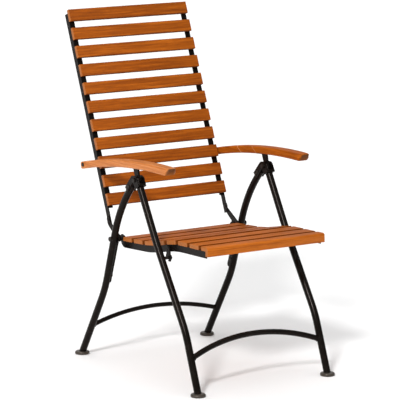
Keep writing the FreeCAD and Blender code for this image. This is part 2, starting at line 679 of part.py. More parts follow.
# Armrest: an arched bar with a raked front end, whose rear end reaches past the lock pin
pin_reach = math.hypot(*pin_place)
pin_angle = BACK_LEAN + math.degrees(math.atan2(*pin_place))
pin_y, pin_z = on_hinge_circle(pin_reach, pin_angle)
arm_top = [(pin_y + ARM_REAR_PAST_PIN[0], pin_z + ARM_REAR_PAST_PIN[1])] + ARM_TOP
arm_outer = ARM_INNER + ARM_WIDTH
top_edge = Part.Arc(*[at(ARM_INNER, point) for point in arm_top]).toShape()
arc_centre = top_edge.Curve.Center
low_points = []
for point in arm_top:
    radial = (at(ARM_INNER, point) - arc_centre).normalize()
    low_points.append(at(ARM_INNER, point) - radial * ARM_THICKNESS)
rake = (low_points[0] - low_points[2]).normalize() * ARM_FRONT_RAKE
low_front = low_points[2] + rake
low_front = arc_centre + (low_front - arc_centre).normalize() * (top_edge.Curve.Radius - ARM_THICKNESS)
arm_wire = Part.Wire([
    top_edge,
    Part.makeLine(at(ARM_INNER, arm_top[2]), low_front),
    Part.Arc(low_front, low_points[1], low_points[0]).toShape(),
    Part.makeLine(low_points[0], at(ARM_INNER, arm_top[0])),
])
arm_block = Part.Face(arm_wire).extrude(X_AXIS * ARM_WIDTH)
end_edges = [edge for edge in arm_block.Edges if edge.BoundBox.XLength > ARM_WIDTH / 2]
nose_edges = [edge for edge in end_edges if edge.BoundBox.YMax < APEX[0]]
armrest = arm_block.makeFillet(ARM_NOSE, nose_edges)
tail_edges = []
for edge in armrest.Edges:
    extent = edge.BoundBox
    if extent.XLength > ARM_WIDTH / 2 and extent.YMin > low_points[0].y - TOUCH:
        tail_edges.append(edge)
armrest = armrest.makeFillet(ARM_TAIL, tail_edges)
side_edges = [edge for edge in armrest.Edges if edge.BoundBox.XLength < TOUCH]
armrest = armrest.makeFillet(ARM_EDGE, side_edges)

# Steel tab under the armrest, with an eye on the apex bolt and a flange let into the wood
tab_half = TAB_THICKNESS / 2
arm_low = low_points[1].z
low_layer = arm_block.copy()
low_layer.translate(FreeCAD.Vector(0, 0, PLATE - ARM_THICKNESS))
low_layer = low_layer.common(arm_block)
tab_stem = plate([
    (APEX[0] - TAB_EYE, APEX[1]),
    (TAB_TOP_Y[0], arm_low + PLATE),
    (TAB_TOP_Y[1], arm_low + PLATE),
    (APEX[0] + TAB_EYE, APEX[1]),
], LEG_PLANE - tab_half, LEG_PLANE + tab_half)
tab_flange = low_layer.common(box(
    (LEG_PLANE - TAB_FLANGE_WIDTH / 2, LEG_PLANE + TAB_FLANGE_WIDTH / 2), TAB_FLANGE_Y, (0, BEYOND)))
tab = fused([rod(APEX, TAB_EYE, LEG_PLANE - tab_half, LEG_PLANE + tab_half), tab_stem]).cut(arm_block)
tab = fused([tab, tab_flange]).cut(pivot_hole)
armrest = armrest.cut(tab_flange)
arm_fasteners = []
for y in (TAB_FLANGE_Y[0] + TAB_SCREW_MARGIN, TAB_FLANGE_Y[1] - TAB_SCREW_MARGIN):
    for x in (LEG_PLANE - TAB_SCREW_OFFSET, LEG_PLANE + TAB_SCREW_OFFSET):
        column = Part.makeCylinder(SCREW_HEAD_RADIUS, BEYOND, FreeCAD.Vector(x, y, 0))
        screw_low = tab_flange.common(column).BoundBox.ZMin
        arm_fasteners.append(Part.makeCylinder(SCREW_RADIUS, SCREW_BITE, FreeCAD.Vector(x, y, screw_low)))

# Notched plate on the inner face of the armrest, just outside the path of the lock pin
comb_inner = ARM_INNER - PLATE
comb_start = pin_angle + COMB_ANGLES[0]
comb_end = pin_angle + COMB_ANGLES[1]
comb_low = pin_reach + PIN_RADIUS + COMB_CLEARANCE
comb_high = comb_low + COMB_WIDTH
comb_middle = (comb_start + comb_end) / 2
comb_wire = Part.Wire([
    Part.Arc(*[at(comb_inner, on_hinge_circle(comb_low, angle))
               for angle in (comb_start, comb_middle, comb_end)]).toShape(),
    Part.makeLine(at(comb_inner, on_hinge_circle(comb_low, comb_end)),
                  at(comb_inner, on_hinge_circle(comb_high, comb_end))),
    Part.Arc(*[at(comb_inner, on_hinge_circle(comb_high, angle))
               for angle in (comb_end, comb_middle, comb_start)]).toShape(),
    Part.makeLine(at(comb_inner, on_hinge_circle(comb_high, comb_start)),
                  at(comb_inner, on_hinge_circle(comb_low, comb_start))),
])
comb = Part.Face(comb_wire).extrude(X_AXIS * PLATE)
for notch in range(NOTCH_COUNT):
    place = on_hinge_circle(comb_low, pin_angle + notch * NOTCH_STEP)
    comb = comb.cut(rod(place, NOTCH_RADIUS, comb_inner, ARM_INNER))
above_comb = arm_block.copy()
above_comb.translate(FreeCAD.Vector(-ARM_WIDTH / 2, 0, ARM_THICKNESS - ARM_EDGE))
comb = comb.cut(above_comb)
comb_bolt_place = on_hinge_circle(comb_low + COMB_BOLT_REACH, pin_angle + COMB_BOLT_ANGLE)
comb_screw_place = on_hinge_circle(comb_low + COMB_SCREW_REACH, pin_angle + COMB_SCREW_ANGLE)
arm_fasteners.append(fused([
    rod(comb_bolt_place, COMB_BOLT_RADIUS, comb_inner, arm_outer),
    head(comb_bolt_place, DOME_RADIUS, arm_outer, arm_outer + DOME_HEIGHT),
]))
arm_fasteners.append(rod(comb_screw_place, SCREW_RADIUS, comb_inner, ARM_INNER + COMB_SCREW_LENGTH))
for piece in arm_fasteners:
    armrest = armrest.cut(piece)
    tab = tab.cut(piece)
    comb = comb.cut(piece)

nodes = {
    "rear_stretcher": rear_stretcher,
    "front_stretcher": front_stretcher,
    "rear_feet": both_sides(rear_foot),
    "front_feet": both_sides(front_foot),
    "apex_bolts": both_sides(apex_bolt),
    "hinge_bolts": both_sides(hinge_bolt),
    "pivot_nuts": Part.makeCompound([both_sides(apex_nut), both_sides(hinge_nut)]),
    "hinge_spacers": Part.makeCompound([both_sides(piece) for piece in spacers]),
    "leg_rivets": Part.makeCompound([both_sides(piece) for piece in cheek_rivets + strip_rivets]),
    "seat_studs": both_sides(stud),
    "stud_nuts": both_sides(stud_nut),
    "seat_screws": Part.makeCompound(seat_screws),
    "hook_rivets": Part.makeCompound([both_sides(piece) for piece in hook_rivets]),
    "back_screws": Part.makeCompound(back_screws),
    "lap_rivets": Part.makeCompound([both_sides(piece) for piece in lap_rivets]),
    "lock_pins": both_sides(lock_pin),
}
sided = {
    "rear_leg": rear_leg,
    "front_leg": front_leg,
    "apex_bracket": bracket,
    "hinge_plate": hinge_plate,
    "seat_rail": seat_rail,
    "seat_hook": hook,
    "upright": upright,
    "lower_bar": lower_bar,
    "armrest": armrest,
    "arm_tab": tab,
    "arm_comb": comb,
    "arm_fasteners": Part.makeCompound(arm_fasteners),
}
for name, shape in sided.items():
    nodes["right_" + name] = shape
    nodes["left_" + name] = mirrored(shape)
for number, slat in enumerate(seat_slats, 1):
    nodes["seat_slat_%d" % number] = slat
for number, slat in enumerate(back_slats, 1):
    nodes["back_slat_%d" % number] = slat

# Put the origin under the middle of the whole chair
bounds = Part.makeCompound(list(nodes.values())).optimalBoundingBox(False, False)
shift = FreeCAD.Vector(-bounds.Center.x, -bounds.Center.y, -bounds.ZMin)
os.makedirs("parts", exist_ok=True)
for name, shape in nodes.items():
    shape.translate(shift)
    shape.exportStep("parts/%s.step" % name)
print("nodes", len(nodes), "size", bounds.XLength, bounds.YLength, bounds.ZLength)
print("shift", shift.x, shift.y, shift.z)
print("apex", APEX[0] + shift.y, APEX[1] + shift.z, "hinge", HINGE[0] + shift.y, HINGE[1] + shift.z)
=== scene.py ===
import json
import math

import bmesh
import bpy
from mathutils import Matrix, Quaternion, Vector


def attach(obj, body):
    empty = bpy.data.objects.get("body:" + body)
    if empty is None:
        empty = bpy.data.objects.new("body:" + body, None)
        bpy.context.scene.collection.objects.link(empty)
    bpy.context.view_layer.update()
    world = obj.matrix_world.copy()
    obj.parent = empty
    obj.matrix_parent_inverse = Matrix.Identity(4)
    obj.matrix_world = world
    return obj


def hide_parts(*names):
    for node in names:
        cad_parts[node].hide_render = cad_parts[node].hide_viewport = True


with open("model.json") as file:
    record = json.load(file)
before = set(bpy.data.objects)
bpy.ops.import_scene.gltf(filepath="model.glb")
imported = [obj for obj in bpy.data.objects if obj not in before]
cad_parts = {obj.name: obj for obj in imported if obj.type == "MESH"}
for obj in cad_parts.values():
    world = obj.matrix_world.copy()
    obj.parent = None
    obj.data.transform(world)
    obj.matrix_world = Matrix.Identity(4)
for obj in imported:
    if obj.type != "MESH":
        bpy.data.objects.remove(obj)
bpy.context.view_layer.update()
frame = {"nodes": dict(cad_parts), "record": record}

# Folding garden armchair: oiled hardwood slats and armrests on a powder-coated steel frame.
# The chair faces -Y, Z is up, and lengths are in metres.

MM = 0.001
CLOSE = 0.1 * MM
SMOOTH_ANGLE = math.radians(40)
SIDES = {"left": -1, "right": 1}

# Slats: first and last easing of the edges, and the front one's nose and lip
BACK_EASE = 1.7 * MM
SEAT_EASE = 0.9 * MM
EASE_STEPS = 3
LAST_EASE = 1.0 * MM
LAST_STEPS = 2
NOSE_RADIUS = 8 * MM
NOSE_STEPS = 7
LIP_DEPTH = 15.5 * MM
LIP_THICKNESS = 12.7 * MM

# Least angles at a corner, in radians, and least share of the normal across a slat on its narrow sides, which
# get painted shade
SLAT_CORNER = 1.2
ARM_CORNER = 0.8
SIDE_FACING = 0.6

# Tones of the boards, from 0, dark, to 1, pale, from the top of the back and from the rear of the seat. The
# seat's tones differ at random but sit paler than the back's, and the front slat's is palest, as painted
# light
BACK_TONES = (0.38, 0.44, 0.49, 0.40, 0.46, 0.43, 0.49, 0.45, 0.41, 0.46, 0.44)
SEAT_TONES_AND_PAINTED_LIGHT = (0.66, 0.60, 0.71, 0.63, 0.58, 0.68, 0.64, 0.72)

# Armrests: the top edge's arc through three places as (y, z), from the rear, and the bar's section
ARM_TOP = ((239.77 * MM, 624.56 * MM), (-3.23 * MM, 662 * MM), (-253.23 * MM, 668.5 * MM))
ARM_MIDDLE = 244.3 * MM
ARM_WIDTH = 39 * MM
ARM_THICKNESS = 23 * MM
ARM_STEPS = 30
ARM_TAIL = 5 * MM
ARM_EDGE = 5 * MM
ARM_EDGE_STEPS = 5
NOSE_NARROWING = (0.74, 0.94)
NOSE_RISE = 6 * MM
NOSE_RAKE = 10 * MM

# Stretchers: half width between the legs' middles, ends and crests as (y, z), and the bars' radii
LEG_PLANE = 238 * MM
LEG_RADIUS = 11 * MM
STRETCHERS = {
    "rear": ((222.77 * MM, 102 * MM), (237.77 * MM, 135 * MM), 7 * MM),
    "front": ((-342.23 * MM, 106 * MM), (-318.23 * MM, 150.5 * MM), 8.5 * MM),
}

# Weld beads round the stretchers' ends
BEAD_RADIUS = 2.2 * MM
BEAD_INSET = 1.6 * MM
BEAD_LUMP = BEAD_RADIUS / 4
BEAD_STEPS = 28
BEAD_SIDES = 8
BEAD_SEED = 7

# Glides under the legs: a soft rim, a raised collar round the tube, and the places of the middles along Y
GLIDE_RADIUS = 23 * MM
GLIDE_HEIGHT = 9 * MM
GLIDE_STEPS = 48
GLIDE_TOP_EDGE = 4.2 * MM
GLIDE_TOP_STEPS = 5
GLIDE_LOW_EDGE = 2 * MM
GLIDE_LOW_STEPS = 3
COLLAR_INSET = 8.28 * MM
COLLAR_RISE = 1.2 * MM
GLIDE_PLACES = {"rear": 282.03 * MM, "front": -380.53 * MM}


def open_piece(name, primitive, **values):
    """Add a primitive as the start of a piece, and open it for editing."""
    bpy.ops.object.select_all(action="DESELECT")
    primitive(**values)
    piece = bpy.context.object
    piece.name = name
    piece.data.name = name
    bpy.ops.object.mode_set(mode="EDIT")
    return piece


def pick(piece, kind, test):
    """Select the edges or faces of the open piece that pass a test of their middle and themselves."""
    bpy.ops.mesh.select_mode(type=kind)
    bpy.ops.mesh.select_all(action="DESELECT")
    shape = bmesh.from_edit_mesh(piece.data)
    items = shape.edges if kind == "EDGE" else shape.faces
    for item in items:
        middle = sum((corner.co for corner in item.verts), Vector()) / len(item.verts)
        item.select_set(bool(test(middle, item)))
    shape.select_flush_mode()
    bmesh.update_edit_mesh(piece.data)


def close_piece(piece):
    """Leave edit mode, and shade the piece smooth up to its corners."""
    bpy.ops.object.mode_set(mode="OBJECT")
    bpy.ops.object.shade_smooth_by_angle(angle=SMOOTH_ANGLE)
    return piece


def copy_of(pattern, name, place, turn=Quaternion()):
    """Copy of a pattern with its own mesh, turned and put in its place."""
    bpy.ops.object.select_all(action="DESELECT")
    pattern.select_set(True)
    bpy.context.view_layer.objects.active = pattern
    bpy.ops.object.duplicate()
    piece = bpy.context.object
    piece.name = name
    piece.data.name = name
    piece.rotation_mode = "QUATERNION"
    piece.rotation_quaternion = turn
    piece.location = place
    bpy.ops.object.transform_apply(location=True, rotation=True, scale=True)
    return piece


def put_away(pattern):
    """Remove a pattern when its copies are in place."""
    mesh = pattern.data
    bpy.data.objects.remove(pattern)
    bpy.data.meshes.remove(mesh)


def turned_box(node):
    """Tilt about X, middle and size of a straight slat, read from its broadest upward face."""
    mesh = frame["nodes"][node].data
    upward = [face for face in mesh.polygons if face.normal.z > 0]
    normal = max(upward, key=lambda face: face.area).normal
    tilt = math.atan2(-normal.y, normal.z)
    across = Vector((0, math.cos(tilt), math.sin(tilt)))
    axes = (Vector((1, 0, 0)), across, Vector((0, -math.sin(tilt), math.cos(tilt))))
    spans = []
    for axis in axes:
        reach = [axis.dot(corner.co) for corner in mesh.vertices]
        spans.append((min(reach), max(reach)))
    middle = sum((axis * (low + high) / 2 for axis, (low, high) in zip(axes, spans)), Vector())
    return tilt, middle, [high - low for low, high in spans]


def ease_corners(piece, least_angle, radius, steps):
    """Ease every edge of an open piece that is sharper than an angle."""
    pick(piece, "EDGE", lambda place, edge: (
        len(edge.link_faces) == 2 and edge.calc_face_angle() > least_angle))
    bpy.ops.mesh.bevel(offset=radius, segments=steps, affect="EDGES")


def make_slat(name, size, ease):
    """Slat with eased edges. The last easing takes in every edge, along the slat and round its ends."""
    half = Vector(size) / 2
    slat = open_piece(name, bpy.ops.mesh.primitive_cube_add, size=1)
    bpy.ops.transform.resize(value=size)
    pick(slat, "EDGE", lambda place, edge: abs(place.x) < half.x / 2)
    bpy.ops.mesh.bevel(offset=ease, segments=EASE_STEPS, affect="EDGES")
    bpy.ops.mesh.select_all(action="SELECT")
    bpy.ops.mesh.bevel(offset=LAST_EASE, segments=LAST_STEPS, affect="EDGES")
    return close_piece(slat)


def make_front_slat(name, size, ease):
    """Front seat slat, with a round nose and a lip in front of the rails' ends."""
    half = Vector(size) / 2
    lip_rear = LIP_THICKNESS - half.y
    board_low = LIP_DEPTH - half.z
    slat = open_piece(name, bpy.ops.mesh.primitive_cube_add, size=1)
    bpy.ops.transform.resize(value=(size[0], size[1], size[2] - LIP_DEPTH))
    bpy.ops.transform.translate(value=(0, 0, LIP_DEPTH / 2))
    bpy.ops.mesh.bisect(plane_co=(0, lip_rear, 0), plane_no=(0, 1, 0))
    pick(slat, "FACE", lambda place, face: place.z < board_low + CLOSE and place.y < lip_rear)
    bpy.ops.mesh.extrude_region_move(TRANSFORM_OT_translate={"value": (0, 0, -LIP_DEPTH)})
    pick(slat, "EDGE", lambda place, edge: place.y < CLOSE - half.y and place.z > half.z - CLOSE)
    bpy.ops.mesh.bevel(offset=NOSE_RADIUS, segments=NOSE_STEPS, affect="EDGES")
    pick(slat, "EDGE", lambda place, edge: abs(place.x) < half.x / 2 and (
        place.y > half.y - CLOSE or place.z < CLOSE - half.z))
    bpy.ops.mesh.bevel(offset=ease, segments=EASE_STEPS, affect="EDGES")
    ease_corners(slat, SLAT_CORNER, LAST_EASE, LAST_STEPS)
    return close_piece(slat)


def set_tone(slat, tone, tilt, sides):
    """Give a slat its tone, and mark the narrow sides asked for, which get painted shade of the gaps between
    slats: 1, rear or upper, and -1, front or lower.
    """
    values = slat.data.attributes.new("tone", "FLOAT", "POINT")
    values.data.foreach_set("value", [tone] * len(slat.data.vertices))
    across = Vector((0, math.cos(tilt), math.sin(tilt)))
    painted_shade_marks = slat.data.attributes.new("side", "FLOAT", "FACE")
    for face in slat.data.polygons:
        facing = across.dot(face.normal)
        painted_shade_marks.data[face.index].value = float(any(side * facing > SIDE_FACING for side in sides))


slats = []


def lay_slat(pattern, node, body, tone, sides=(1, -1)):
    """Put a copy of a slat in the place of a plain one."""
    tilt, middle = turned_box(node)[:2]
    slat = copy_of(pattern, "wood_" + node, middle, Quaternion((1, 0, 0), tilt))
    set_tone(slat, tone, tilt, sides)
    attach(slat, body)
    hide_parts(node)
    slats.append(slat)


back_slat = make_slat("back_slat_pattern", turned_box("back_slat_1")[2], BACK_EASE)
for number, tone in enumerate(BACK_TONES, 1):
    lay_slat(back_slat, "back_slat_%d" % number, "backrest", tone)
put_away(back_slat)

seat_slat = make_slat("seat_slat_pattern", turned_box("seat_slat_1")[2], SEAT_EASE)
for number, tone in enumerate(SEAT_TONES_AND_PAINTED_LIGHT[:-1], 1):
    lay_slat(seat_slat, "seat_slat_%d" % number, "seat", tone)
put_away(seat_slat)

front_node = "seat_slat_%d" % len(SEAT_TONES_AND_PAINTED_LIGHT)
front_slat = make_front_slat("front_slat_pattern", turned_box(front_node)[2], SEAT_EASE)
# The front slat takes the palest tone, as painted light on its front face, and gets painted shade on its rear
# side only
lay_slat(front_slat, front_node, "seat", SEAT_TONES_AND_PAINTED_LIGHT[-1], sides=(1,))
put_away(front_slat)


def circle_through(first, second, third):
    """Centre and radius of the circle through three places in the side view."""
    a, b, c = (Vector(place) for place in (first, second, third))
    along = b - a
    onward = c - a
    cross = 2 * (along.x * onward.y - along.y * onward.x)
    y = (onward.y * along.length_squared - along.y * onward.length_squared) / cross
    z = (along.x * onward.length_squared - onward.x * along.length_squared) / cross
    return a + Vector((y, z)), Vector((y, z)).length


def make_armrest(name):
    """Arched hardwood bar with soft edges, narrowed and raised at its nose, in the middle plane."""
    centre, radius = circle_through(*ARM_TOP)
    hub = Vector((0, centre.x, centre.y))

    def turn(y, z):
        return math.atan2(z - centre.y, y - centre.x)

    rear = turn(*ARM_TOP[0]) - ARM_TAIL / radius
    front = turn(*ARM_TOP[-1])
    step = (front - rear) / ARM_STEPS
    bar = open_piece(name, bpy.ops.mesh.primitive_plane_add, size=1)
    bpy.ops.transform.resize(value=(ARM_WIDTH, ARM_THICKNESS, 1))
    bpy.ops.transform.translate(value=(0, centre.x + radius - ARM_THICKNESS / 2, centre.y))
    bpy.ops.transform.rotate(value=-rear, orient_axis="X", center_override=hub)
    bpy.ops.mesh.spin(steps=ARM_STEPS, angle=rear - front, center=hub, axis=(1, 0, 0))

    def on_ring(corner, number):
        return abs(front - number * step - turn(corner.co.y, corner.co.z)) < step / 4

    def on_underside(corner):
        return math.hypot(corner.co.y - centre.x, corner.co.z - centre.y) < radius - ARM_THICKNESS + MM

    for number, share in enumerate(NOSE_NARROWING):
        pick(bar, "EDGE", lambda place, edge: all(on_ring(corner, number) for corner in edge.verts))
        bpy.ops.transform.resize(value=(share, 1, 1), center_override=(0, 0, 0))
    pick(bar, "EDGE", lambda place, edge: all(
        on_ring(corner, 0) and on_underside(corner) for corner in edge.verts))
    bpy.ops.transform.translate(value=(0, NOSE_RAKE, NOSE_RISE))
    bpy.ops.mesh.select_all(action="SELECT")
    bpy.ops.mesh.normals_make_consistent(inside=False)
    ease_corners(bar, ARM_CORNER, ARM_EDGE, ARM_EDGE_STEPS)
    return close_piece(bar)


armrests = {}
arm_bar = make_armrest("arm_bar_pattern")
for side_name, side in SIDES.items():
    armrest = copy_of(arm_bar, side_name + "_arm_bar", (side * ARM_MIDDLE, 0, 0))
    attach(armrest, side_name + "_arm")
    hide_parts(side_name + "_armrest")
    armrests[side_name] = armrest
put_away(arm_bar)


def stretcher_end(side, end, crest):
    """Place on a stretcher's arc where it meets a leg, and the bar's direction there."""
    rise = Vector(crest) - Vector(end)
    height = rise.length
    upward = rise.normalized()
    radius = (LEG_PLANE ** 2 + height ** 2) / (2 * height)
    reach = LEG_PLANE - LEG_RADIUS + BEAD_INSET
    y, z = Vector(end) + upward * (math.sqrt(radius ** 2 - reach ** 2) - radius + height)
    lean = math.asin(reach / radius)
    along = Vector((side * math.cos(lean), -upward.x * math.sin(lean), -upward.y * math.sin(lean)))
    return Vector((side * reach, y, z)), along


def make_bead(name, radius):
    """Lumpy ring of weld for a bar of a given radius."""
    bead = open_piece(
        name, bpy.ops.mesh.primitive_torus_add, major_radius=radius, minor_radius=BEAD_RADIUS,
        major_segments=BEAD_STEPS, minor_segments=BEAD_SIDES)
    bpy.ops.mesh.select_all(action="SELECT")
    bpy.ops.transform.vertex_random(offset=BEAD_LUMP, uniform=0.6, normal=0.4, seed=BEAD_SEED)
    bpy.ops.mesh.vertices_smooth(factor=0.4, repeat=1)
    bpy.ops.object.mode_set(mode="OBJECT")
    bpy.ops.object.shade_smooth()
    return bead


welds = []
for end_name, (end, crest, radius) in STRETCHERS.items():
    bead = make_bead(end_name + "_bead_pattern", radius)
    for side_name, side in SIDES.items():
        place, along = stretcher_end(side, end, crest)
        weld = copy_of(bead, "%s_%s_weld" % (side_name, end_name), place, along.to_track_quat("Z", "Y"))
        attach(weld, end_name + "_frame")
        welds.append(weld)
    put_away(bead)


def make_glide(name):
    """Round glide with a soft rim and a raised collar round the tube."""
    glide = open_piece(
        name, bpy.ops.mesh.primitive_cylinder_add, vertices=GLIDE_STEPS, radius=GLIDE_RADIUS,
        depth=GLIDE_HEIGHT)
    half = GLIDE_HEIGHT / 2

    def on_rim(corner):
        return math.hypot(corner.co.x, corner.co.y) > GLIDE_RADIUS - CLOSE

    pick(glide, "FACE", lambda place, face: place.z > half - CLOSE)
    bpy.ops.mesh.inset(thickness=COLLAR_INSET, depth=0)
    bpy.ops.transform.translate(value=(0, 0, COLLAR_RISE))
    pick(glide, "EDGE", lambda place, edge: all(
        on_rim(corner) and corner.co.z > 0 for corner in edge.verts))
    bpy.ops.mesh.bevel(offset=GLIDE_TOP_EDGE, segments=GLIDE_TOP_STEPS, affect="EDGES")
    pick(glide, "EDGE", lambda place, edge: all(
        on_rim(corner) and corner.co.z < CLOSE - half for corner in edge.verts))
    bpy.ops.mesh.bevel(offset=GLIDE_LOW_EDGE, segments=GLIDE_LOW_STEPS, affect="EDGES")
    return close_piece(glide)


glides = []
glide_pattern = make_glide("glide_pattern")
for end_name, y in GLIDE_PLACES.items():
    for side_name, side in SIDES.items():
        place = (side * LEG_PLANE, y, GLIDE_HEIGHT / 2)
        glide = copy_of(glide_pattern, "%s_%s_glide" % (side_name, end_name), place)
        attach(glide, end_name + "_frame")
        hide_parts(end_name + "_feet")
        glides.append(glide)
put_away(glide_pattern)

# Figure of the wood: stretch of the noise along and across the grain
STREAK_STRETCH = (6, 170, 170)
FIBRE_STRETCH = (26, 620, 620)
PORE_STRETCH = (75, 1500, 1500)

# Finish of the wood: shades and roughness from fibre to fibre, pores, narrow sides, end grain and relief; the
# narrow sides' darkening is painted shade of the gaps between slats
FIBRE_SHADES = (0.78, 1.1)
FIBRE_ROUGHNESS = (0.50, 0.38)
PORE_STRENGTH = 0.45
PORE_SHADE = (0.45, 0.4, 0.4)
# Painted shade of the gaps between slats on their narrow sides: its strength and its colour as a share of the
# deep tint; then the sides' roughness
SIDE_PAINTED_SHADE_STRENGTH = 0.66
SIDE_PAINTED_SHADE = (0.25, 0.2, 0.2)
SIDE_ROUGHNESS = 0.95
TONE_RANGE = (0.2, 0.8)
TONE_LIFT = 0.54
END_FACING = (0.55, 0.85)
GRAIN_RELIEF = 0.3 * MM
GRAIN_STRENGTH = 0.25

# Texture of the powder coat
PEEL_STRETCH = (320, 320, 320)
MOTTLE_STRETCH = (22, 22, 22)
PEEL_STRENGTH = 0.3

# Colours of the wood as deep, body and pale, and of its end grain
WOOD_TINTS = ((0.245, 0.052, 0.0026, 1), (0.365, 0.083, 0.0036, 1), (0.51, 0.130, 0.009, 1))
PALE_ARM_TINTS = ((0.42, 0.118, 0.022, 1), (0.54, 0.172, 0.036, 1), (0.64, 0.235, 0.070, 1))
SLAT_END_GRAIN = (0.36, 0.115, 0.026, 1)
ARM_END_GRAIN = (0.13, 0.044, 0.012, 1)

# Pale glue joints across the right armrest: places along the grain with strengths, slope, width and colour
JOINT_PLACES = ((-836 * MM, 1.0), (-931 * MM, 0.6))
JOINT_SLOPE = -1.43
JOINT_WIDTH = 2.2 * MM
JOINT_COLOUR = (0.78, 0.38, 0.17, 1)

# Tint of the highlights on the coated steel and the plastic
WARM_GLINT = (1.0, 0.88, 0.82, 1)


def add(tree, kind, inputs=(), **properties):
    """Place a shader node, set its properties, and fill its sockets with values or links."""
    node = tree.nodes.new("ShaderNode" + kind)
    for name, value in properties.items():
        setattr(node, name, value)
    for socket, value in dict(inputs).items():
        if isinstance(value, bpy.types.NodeSocket):
            tree.links.new(value, node.inputs[socket])
        else:
            node.inputs[socket].default_value = value
    return node


def mixed(tree, factor, first, second, blend="MIX"):
    """Colour mix of two colours or links."""
    inputs = {0: factor, 6: first, 7: second}
    return add(tree, "Mix", inputs, data_type="RGBA", blend_type=blend).outputs[2]


def spread(tree, value, low, high, new_low, new_high):
    """Value carried from one range to another."""
    node = add(tree, "MapRange", {
        "Value": value, "From Min": low, "From Max": high, "To Min": new_low, "To Max": new_high})
    return node.outputs["Result"]


def worked(tree, operation, first, second=0.0):
    """Result of a math node on one or two values or links."""
    return add(tree, "Math", {0: first, 1: second}, operation=operation).outputs[0]


def shaded(colour, shade):
    """Colour made darker by a share for red, green and blue."""
    return tuple(value * share for value, share in zip(colour, shade)) + (1,)


def new_group(name, inputs, outputs):
    """Empty node group with named sockets, and its two end nodes."""
    tree = bpy.data.node_groups.new(name, "ShaderNodeTree")
    for label, kind in inputs:
        tree.interface.new_socket(label, in_out="INPUT", socket_type="NodeSocket" + kind)
    for label in outputs:
        tree.interface.new_socket(label, in_out="OUTPUT", socket_type="NodeSocketFloat")
    return tree, tree.nodes.new("NodeGroupInput"), tree.nodes.new("NodeGroupOutput")


def noise(tree, vector, stretch, detail, roughness=0.55, distortion=0.0):
    """Noise with its own stretch along each axis."""
    mapped = add(tree, "Mapping", {"Vector": vector, "Scale": stretch})
    node = add(tree, "TexNoise", {
        "Vector": mapped.outputs[0], "Scale": 1.0, "Detail": detail, "Roughness": roughness,
        "Distortion": distortion})
    return node.outputs["Fac"]


def build_wood_figure():
    """Figure of sawn hardwood: broad streaks, fine fibres and short pores along the first axis."""
    tree, entry, leave = new_group(
        "wood_figure", [("Along", "Vector"), ("Shift", "Float")], ["Streak", "Fibre", "Pores"])
    moved = add(tree, "CombineXYZ", {0: entry.outputs["Shift"], 1: entry.outputs["Shift"]})
    vector = add(tree, "VectorMath", {0: entry.outputs["Along"], 1: moved.outputs[0]}, operation="ADD")
    place = vector.outputs[0]
    streak = noise(tree, place, STREAK_STRETCH, 4, 0.6, 0.4)
    fibre = noise(tree, place, FIBRE_STRETCH, 3, 0.6)
    pores = noise(tree, place, PORE_STRETCH, 2)
    tree.links.new(spread(tree, streak, 0.32, 0.68, 0, 1), leave.inputs["Streak"])
    tree.links.new(spread(tree, fibre, 0.3, 0.7, 0, 1), leave.inputs["Fibre"])
    tree.links.new(spread(tree, pores, 0.62, 0.72, 0, 1), leave.inputs["Pores"])
    return tree


def build_coat_texture():
    """Fine orange peel and slow mottling of a powder coat."""
    tree, entry, leave = new_group("coat_texture", [("Place", "Vector")], ["Peel", "Mottle"])
    peel = noise(tree, entry.outputs["Place"], PEEL_STRETCH, 3)
    mottle = noise(tree, entry.outputs["Place"], MOTTLE_STRETCH, 4)
    tree.links.new(spread(tree, peel, 0.3, 0.7, 0, 1), leave.inputs["Peel"])
    tree.links.new(spread(tree, mottle, 0.3, 0.7, 0, 1), leave.inputs["Mottle"])
    return tree


wood_figure = build_wood_figure()
coat_texture = build_coat_texture()


def new_material(name):
    """Material with a Principled shader, and that shader."""
    material = bpy.data.materials.new(name)
    material.use_nodes = True
    return material, material.node_tree.nodes["Principled BSDF"]


def add_joints(tree, along, height, colour):
    """Pale glue joints drawn over a colour, where the grain's direction and the height give the place."""
    line = worked(tree, "ADD", along, worked(tree, "MULTIPLY", height, JOINT_SLOPE))
    for place, strength in JOINT_PLACES:
        away = worked(tree, "ABSOLUTE", worked(tree, "SUBTRACT", line, place))
        colour = mixed(tree, spread(tree, away, JOINT_WIDTH, 0, 0, strength), colour, JOINT_COLOUR)
    return colour


